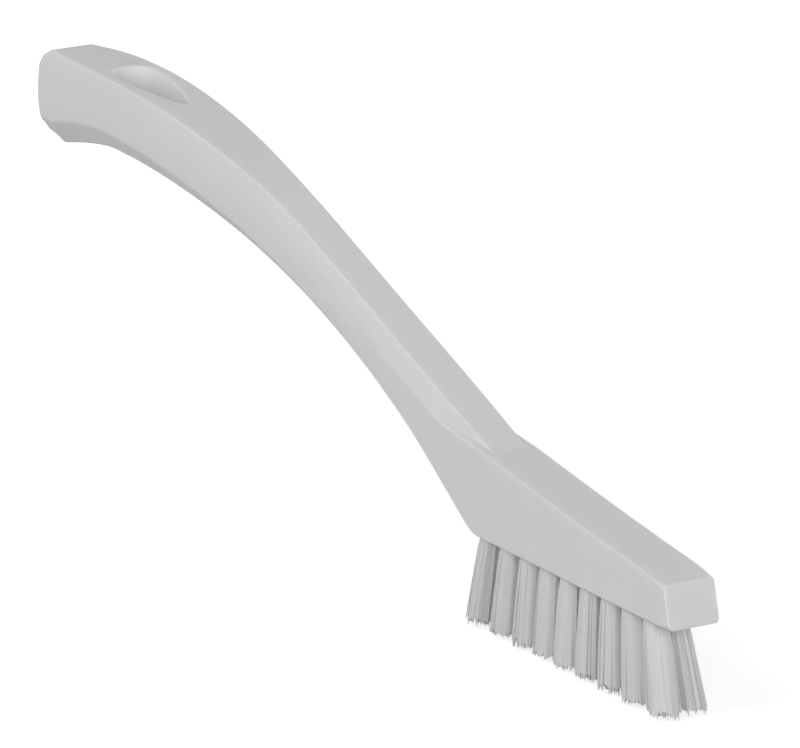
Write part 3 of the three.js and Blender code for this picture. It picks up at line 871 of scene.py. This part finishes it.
def white_filament(finish):
    """White filament: each one has its own tone, with fine streaks along it in gloss and relief."""
    material, shader, tree = new_material("white_filament")
    shade = tree.nodes.new("ShaderNodeAttribute")
    shade.attribute_name = "filament_shade"
    tone = tinted(tree, shade.outputs["Fac"], finish.filament_colour, FILAMENT_TONES)
    streak = noise(tree, object_place(tree), STREAK_SCALE, 2, STREAK_STRETCH)
    rough = finish.filament_roughness
    gloss = ranged(tree, streak, rough - FILAMENT_GLOSS_RANGE, rough + FILAMENT_GLOSS_RANGE)
    finish_shader(tree, shader, tone, gloss, relief(tree, streak, STREAK_STRENGTH, STREAK_RELIEF))
    return material


def anchor_wire(finish):
    """Flattened stainless wire: drawn streaks along it in tone, gloss and relief."""
    material, shader, tree = new_material("anchor_wire")
    streak = noise(tree, object_place(tree), DRAWN_SCALE, 3, DRAWN_STRETCH)
    tone = tinted(tree, streak, finish.anchor_colour, WIRE_TONES)
    gloss = ranged(tree, streak, *WIRE_ROUGHNESS)
    finish_shader(tree, shader, tone, gloss, relief(tree, streak, DRAWN_STRENGTH, STREAK_RELIEF))
    shader.inputs["Metallic"].default_value = 1.0
    return material


def calculated(tree, operation, first, second):
    """Result of an operation on two sockets, or on a socket and a value."""
    node = tree.nodes.new("ShaderNodeMath")
    node.operation = operation
    tree.links.new(first, node.inputs[0])
    if isinstance(second, bpy.types.NodeSocket):
        tree.links.new(second, node.inputs[1])
    else:
        node.inputs[1].default_value = second
    return node.outputs[0]


def camera_white(tree, lit, white):
    """Adds white light, a value or a socket, to what camera, glossy and transmission rays see."""
    path = tree.nodes.new("ShaderNodeLightPath")
    seen = path.outputs["Is Camera Ray"]
    for ray in ("Is Glossy Ray", "Is Transmission Ray"):
        seen = calculated(tree, "MAXIMUM", seen, path.outputs[ray])
    glow = tree.nodes.new("ShaderNodeEmission")
    tree.links.new(calculated(tree, "MULTIPLY", seen, white), glow.inputs["Strength"])
    both = tree.nodes.new("ShaderNodeAddShader")
    tree.links.new(lit, both.inputs[0])
    tree.links.new(glow.outputs[0], both.inputs[1])
    return both.outputs[0]


# Operators


class BRUSH_OT_body(bpy.types.Operator):
    """Makes the moulded body with rounded edges, its hanging hole and its tuft holes"""

    bl_idname = "brush.make_body"
    bl_label = "Moulded Body"

    def execute(self, context):
        points, faces = body_mesh(context.scene.brush_body)
        body = new_object("moulded_body", points, faces)
        close_mesh(body)
        cutter = tuft_hole_cutter()
        close_mesh(cutter)
        cut = body.modifiers.new("tuft_holes", "BOOLEAN")
        cut.operation = "DIFFERENCE"
        cut.solver = "EXACT"
        cut.object = cutter
        evaluated = body.evaluated_get(context.evaluated_depsgraph_get())
        mesh = bpy.data.meshes.new_from_object(evaluated)
        body.modifiers.clear()
        body.data = mesh
        bpy.data.objects.remove(cutter)
        close_mesh(body)
        smooth_shading(body, BODY_SHARP_ANGLE)
        body.data.materials.clear()
        body.data.materials.append(moulded_plastic(context.scene.brush_finish))
        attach(body, "root")
        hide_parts("brush_body")
        return {"FINISHED"}


class BRUSH_OT_filaments(bpy.types.Operator):
    """Makes both rows of tufts, filament by filament"""

    bl_idname = "brush.make_filaments"
    bl_label = "Filament Tufts"

    def execute(self, context):
        material = white_filament(context.scene.brush_finish)
        sizes = context.scene.brush_filaments
        for seed, (row, side) in enumerate(ROWS.items(), start=FIRST_SEED):
            random = np.random.default_rng(seed)
            strands = filament_points(side, sizes, random)
            hearts = heart_points(side, sizes, random)
            points = np.concatenate([strands.reshape(-1, 3), hearts.reshape(-1, 3)]) * MM
            faces = tube_faces(*strands.shape[:3]) + tube_faces(*hearts.shape[:3], strands.size // 3)
            piece = new_object(f"{row}_filaments", points, faces)
            strand_shade = np.repeat(random.random(len(strands)), strands.shape[1] * strands.shape[2])
            heart_shade = random.random((len(hearts), 1, HEART_SIDES)) * np.ones(hearts.shape[:3])
            attribute = piece.data.attributes.new("filament_shade", "FLOAT", "POINT")
            shade = np.concatenate([strand_shade, heart_shade.ravel()])
            attribute.data.foreach_set("value", shade.astype(np.float32))
            smooth_shading(piece, FILAMENT_SHARP_ANGLE)
            piece.data.materials.append(material)
            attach(piece, "root")
            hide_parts(f"{row}_bristles")
        return {"FINISHED"}


class BRUSH_OT_anchors(bpy.types.Operator):
    """Gives the tuft anchors their wire finish"""

    bl_idname = "brush.finish_anchors"
    bl_label = "Anchor Wires"

    def execute(self, context):
        material = anchor_wire(context.scene.brush_finish)
        for name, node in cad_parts.items():
            if "_anchor_" in name:
                node.data.materials.clear()
                node.data.materials.append(material)
        return {"FINISHED"}


class BRUSH_OT_stage(bpy.types.Operator):
    """Makes the pale floor, the soft lights and the camera"""

    bl_idname = "brush.make_stage"
    bl_label = "Studio Stage"

    def execute(self, context):
        stage = context.scene.brush_stage
        self.make_floor(stage)
        self.make_world(context.scene, stage)
        self.make_lights(stage)
        self.make_camera(context.scene, stage)
        context.scene.view_settings.view_transform = "Standard"
        return {"FINISHED"}

    def make_floor(self, stage):
        """A wide level sheet in the plane of the bristle tips, pure white to the camera off the brush."""
        corners = np.array([[-1, -1, 0], [1, -1, 0], [1, 1, 0], [-1, 1, 0]]) * FLOOR_HALF_SIZE
        floor = new_object("floor", corners, [[0, 1, 2, 3]])
        material, shader, tree = new_material("pale_floor")
        shader.inputs["Base Color"].default_value = (*stage.floor_colour, 1)
        shader.inputs["Roughness"].default_value = 0.9
        shader.inputs["Specular IOR Level"].default_value = 0.0
        distance = tree.nodes.new("ShaderNodeVectorMath")
        distance.operation = "LENGTH"
        tree.links.new(object_place(tree), distance.inputs[0])
        white = ranged(tree, distance.outputs["Value"], stage.floor_white, 1.0, *FLOOR_FADE)
        seen = camera_white(tree, shader.outputs[0], white)
        tree.links.new(seen, tree.nodes["Material Output"].inputs["Surface"])
        floor.data.materials.append(material)

    def make_world(self, scene, stage):
        """White to the camera and in reflections, and even light from all sides."""
        world = bpy.data.worlds.new("studio")
        world.use_nodes = True
        tree = world.node_tree
        even = tree.nodes["Background"]
        even.inputs["Color"].default_value = (1, 1, 1, 1)
        even.inputs["Strength"].default_value = stage.ambient
        seen = camera_white(tree, even.outputs[0], 1 - stage.ambient)
        tree.links.new(seen, tree.nodes["World Output"].inputs["Surface"])
        scene.world = world

    def make_lights(self, stage):
        """Large soft lamps that face the middle of the brush: name, place, size, power and colour."""
        lamps = (
            ("side_light", (-0.13, -2.5, 0.62), 2.0, stage.side_power, (0.94, 0.97, 1.02)),
            ("high_light", (-0.3, -1.7, 1.9), 1.8, stage.high_power, (0.98, 0.99, 1.01)),
            ("tip_light", (2.46, 0.52, 0.6), 1.8, stage.tip_power, (1.01, 1.01, 0.94)),
            ("front_light", (2.1, -1.3, 0.8), 1.6, stage.front_power, (1.0, 1.0, 1.0)),
            ("back_light", (-0.5, 2.5, 0.48), 2.0, stage.back_power, (1.0, 1.0, 1.0)),
        )
        for name, place, size, power, colour in lamps:
            data = bpy.data.lights.new(name, "AREA")
            data.shape = "DISK"
            data.size = size
            data.energy = power
            data.color = colour
            lamp = bpy.data.objects.new(name, data)
            turn = (Vector(place) - LAMP_TARGET).to_track_quat("Z", "Y").to_matrix().to_4x4()
            lamp.matrix_world = Matrix.Translation(place) @ turn
            bpy.context.scene.collection.objects.link(lamp)

    def make_camera(self, scene, stage):
        """The photograph's view: the camera looks against the direction set by azimuth and elevation."""
        a, e = stage.azimuth, stage.elevation
        right = Vector((math.cos(a), math.sin(a), 0))
        up = Vector((-math.sin(a) * math.sin(e), math.cos(a) * math.sin(e), math.cos(e)))
        behind = Vector((math.sin(a) * math.cos(e), -math.cos(a) * math.cos(e), math.sin(e)))
        tip = Vector((TIP_X, 0, FACE_Z)) * MM
        place = tip + behind * stage.distance - right * stage.offset[0] - up * stage.offset[1]
        data = bpy.data.cameras.new("camera")
        data.sensor_fit = "HORIZONTAL"
        data.sensor_width = SENSOR_WIDTH
        data.lens = stage.lens
        data.clip_start, data.clip_end = CLIP_RANGE
        camera = bpy.data.objects.new("camera", data)
        turn = Matrix((right, up, behind)).transposed().to_4x4()
        camera.matrix_world = Matrix.Translation(place) @ turn
        bpy.context.scene.collection.objects.link(camera)
        scene.camera = camera


class BRUSH_PT_panel(bpy.types.Panel):
    """Lists the brush's settings and steps"""

    bl_idname = "BRUSH_PT_panel"
    bl_label = "Detailing Brush"
    bl_space_type = "VIEW_3D"
    bl_region_type = "UI"
    bl_category = "Brush"

    def draw(self, context):
        layout = self.layout
        for operator, settings in STEPS:
            box = layout.box()
            box.operator(operator.bl_idname)
            group = getattr(context.scene, settings)
            for name in group.bl_rna.properties.keys():
                if name not in ("rna_type", "name"):
                    box.prop(group, name)


STEPS = (
    (BRUSH_OT_body, "brush_body"),
    (BRUSH_OT_filaments, "brush_filaments"),
    (BRUSH_OT_anchors, "brush_finish"),
    (BRUSH_OT_stage, "brush_stage"),
)
SETTINGS = {
    "brush_finish": BrushFinish,
    "brush_body": BrushBodySizes,
    "brush_filaments": BrushFilaments,
    "brush_stage": BrushStage,
}
CLASSES = (*SETTINGS.values(), *(operator for operator, _ in STEPS), BRUSH_PT_panel)


def register():
    """Registers the classes and puts the settings on the scene."""
    for cls in CLASSES:
        bpy.utils.register_class(cls)
    for name, group in SETTINGS.items():
        setattr(bpy.types.Scene, name, PointerProperty(type=group))


def unregister():
    """Takes the settings off the scene and unregisters the classes."""
    for name in SETTINGS:
        delattr(bpy.types.Scene, name)
    for cls in reversed(CLASSES):
        bpy.utils.unregister_class(cls)


def main():
    """Builds the brush and its stage."""
    register()
    bpy.ops.brush.make_body()
    bpy.ops.brush.make_filaments()
    bpy.ops.brush.finish_anchors()
    bpy.ops.brush.make_stage()


if __name__ == "__main__":
    main()
